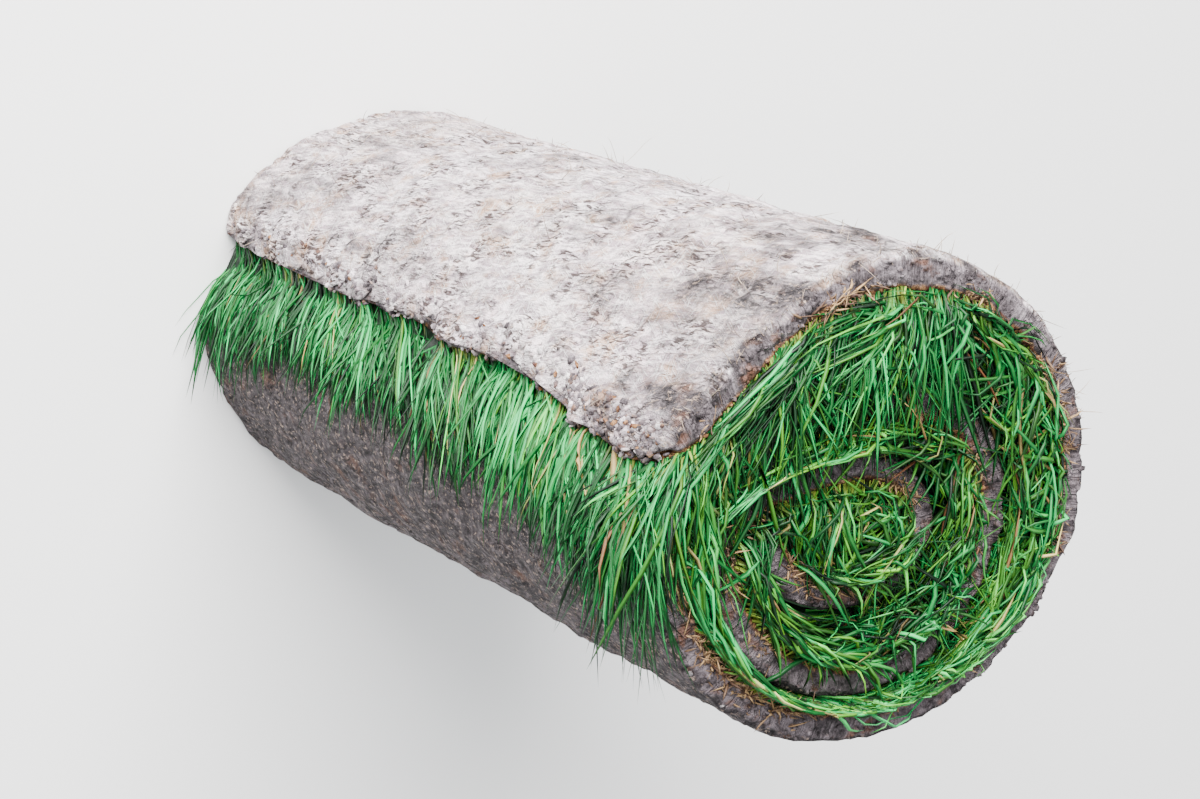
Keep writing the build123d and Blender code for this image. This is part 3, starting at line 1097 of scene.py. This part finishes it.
def crumbs_on_lip(count, seed):
    """Crumbs along the torn lip and on the flap just behind it, thickest at the tongue."""
    chance = np.random.default_rng(seed)
    down = np.where(
        chance.random(count) < 0.5, chance.uniform(6, TONGUE_WIDTH + 15, count),
        chance.uniform(4, LENGTH - 4, count),
    )
    back = 18 * chance.random(count) ** 2.2
    station = behind_lip(down, back)
    depth = np.where(back < 3, chance.uniform(0, MAT, count), 0.0)
    tone = np.where(chance.random(count) < 0.5, 0.0, chance.uniform(3, 19, count))
    lumps("crumbs_on_lip", station, down, depth, tone, chance.uniform(0.7, 2.7, count), seed + 1)


def crumbs_on_end(count, seed):
    """Crumbs on the mat's cut end, most of them on the outer turn and the flap."""
    chance = np.random.default_rng(seed)
    run = np.where(
        chance.random(count) < 0.6, chance.uniform(run_at(-0.85), run_at(TURN), count),
        chance.uniform(run_at(TURN), run_at(LAST_ROOT), count),
    )
    depth = chance.uniform(0.5, MAT - 0.5, count)
    size = chance.uniform(0.6, 2.2, count)
    lumps("crumbs_on_end", station_at(run), run * 0, depth, depth, size, seed + 1)


def bowed(root, way, bend, length, rings):
    """Centre lines that bow: root + length * t * (way + bend * t), for t from 0 to 1."""
    t = np.linspace(0, 1, rings)[None, :, None]
    way, bend, length = unit(way)[:, None, :], bend[:, None, :], length[:, None, None]
    return root[:, None, :] + length * t * (way + bend * t)


def dry_stems(count, seed):
    """Dead stems that lie on the cut end in clumps, at the edge that the grass grows from."""
    chance = np.random.default_rng(seed)
    run = chance.uniform(run_at(-0.85), run_at(10.8), 3 * count)
    run = run[smooth_noise(seed + 2, run / 30) + chance.normal(0, 0.15, len(run)) > 0.20][:count]
    count = len(run)
    depth = np.clip(chance.normal(17.0, 3.6, count), 4, 22)
    station = station_at(run)
    root = worn_place(station, run * 0 + 0.5, depth)
    _, start, lay = rooted(station, run * 0 + 2.0)
    way = lay * chance.normal(0, 0.9, count)[:, None]
    way = way + start * chance.normal(0.25, 0.6, count)[:, None]
    way[:, 2] += chance.uniform(0.05, 0.7, count)
    bend = chance.normal(0, 0.35, (count, 3))
    path = bowed(root, way, bend, chance.uniform(3, 11, count), rings=4)
    marks = {"shade": chance.random(count) ** 1.6}
    carried(
        "dry_stems", path, chance.uniform(0.7, 2.1, count), marks, seed + 1,
        owner=("soil_mat", "soil"), material=dry_stem,
    )


def root_hairs(count, seed):
    """Fine hairs that stand up from the flap, the crown and the flap's upper edge."""
    chance = np.random.default_rng(seed)
    at_rim = chance.random(count) < 0.3
    station = np.where(at_rim, chance.uniform(-0.97, 0.9, count), chance.uniform(-0.95, 0.6, count))
    down = np.where(at_rim, chance.uniform(0, 7, count), chance.uniform(0, LENGTH, count))
    station = np.maximum(station, behind_lip(down, 1))
    root = worn_place(station, down, down * 0 + 0.8)
    under = mat_place(station, down, MAT / 2)
    out = unit(root - under)
    way = out * chance.uniform(0.15, 0.9, count)[:, None] + chance.normal(0, 0.6, (count, 3))
    way[:, 2] += np.where(at_rim, 0.35, 0.0)
    bend = chance.normal(0, 0.45, (count, 3))
    path = bowed(root, way, bend, 2.5 + 12 * chance.random(count) ** 4, rings=5)
    marks = {"shade": chance.random(count)}
    carried(
        "root_hairs", path, chance.uniform(0.35, 0.6, count), marks, seed + 1, flat=0.8,
        owner=("soil_mat", "soil"), material=root_hair,
    )


crumbs_on_lip(900, 606)
crumbs_on_end(1100, 616)
dry_stems(1900, 626)
root_hairs(800, 636)

# Floor, light and camera


def floor():
    """A plain pale floor, level with the roll's foot."""
    mesh = bpy.data.meshes.new("floor")
    half = 6
    corners = [(-half, -half, 0), (half, -half, 0), (half, half, 0), (-half, half, 0)]
    mesh.from_pydata(corners, [], [(0, 1, 2, 3)])
    material, w, shader = new_material("pale_floor")
    w.finish(shader, (0.80, 0.80, 0.79, 1.0), 0.85)
    mesh.materials.append(material)
    new_object("floor", mesh)


def soft_light(name, place, aim, size, power, colour=(1.0, 1.0, 1.0)):
    """A square area light that faces the point it is aimed at."""
    light = bpy.data.lights.new(name, "AREA")
    light.size, light.energy, light.color = size, power, colour
    lamp = new_object(name, light)
    lamp.location = place
    lamp.rotation_euler = (Vector(aim) - Vector(place)).to_track_quat("-Z", "Y").to_euler()


def world_light(colour, strength):
    """An even pale sky all round."""
    world = bpy.data.worlds.new("studio")
    world.use_nodes = True
    background = world.node_tree.nodes["Background"]
    background.inputs["Color"].default_value = colour
    background.inputs["Strength"].default_value = strength
    bpy.context.scene.world = world


def photograph_camera(turn, dip, tilt, place, lens):
    """The photograph's view: turn, dip and tilt are told for the roll lying as it does there.

    A direction (x, y, z) round the lying roll is (x, z, -y) round the standing one.
    """
    a, e, r = (math.radians(v) for v in (turn, dip, tilt))
    ahead = Vector((-math.sin(a) * math.cos(e), math.cos(a) * math.cos(e), -math.sin(e)))
    right = Vector((math.cos(a), math.sin(a), 0))
    up = right.cross(ahead)
    right, up = right * math.cos(r) + up * math.sin(r), up * math.cos(r) - right * math.sin(r)
    stand = Matrix(((1, 0, 0), (0, 0, 1), (0, -1, 0)))
    axes = [stand @ axis for axis in (right, up, -ahead)]
    turned = Matrix(axes).transposed().to_4x4()
    turned.translation = place
    data = bpy.data.cameras.new("camera")
    data.sensor_width, data.lens = 36.0, lens
    camera = new_object("camera", data)
    camera.matrix_world = turned
    bpy.context.scene.camera = camera


floor()
world_light((0.93, 0.96, 1.0, 1.0), strength=1.2)
soft_light(
    "sky_light", (-0.5, 2.1, 1.5), aim=(0.0, 0.0, 0.35), size=2.4, power=480.0,
    colour=(1.0, 0.985, 0.98),
)
soft_light("front_light", (-0.8, 0.3, 2.6), aim=(0.0, 0.0, 0.5), size=1.8, power=40.0)
photograph_camera(turn=-29.9, dip=14.4, tilt=-0.3, place=(-0.873, 0.445, 1.833), lens=85.0)
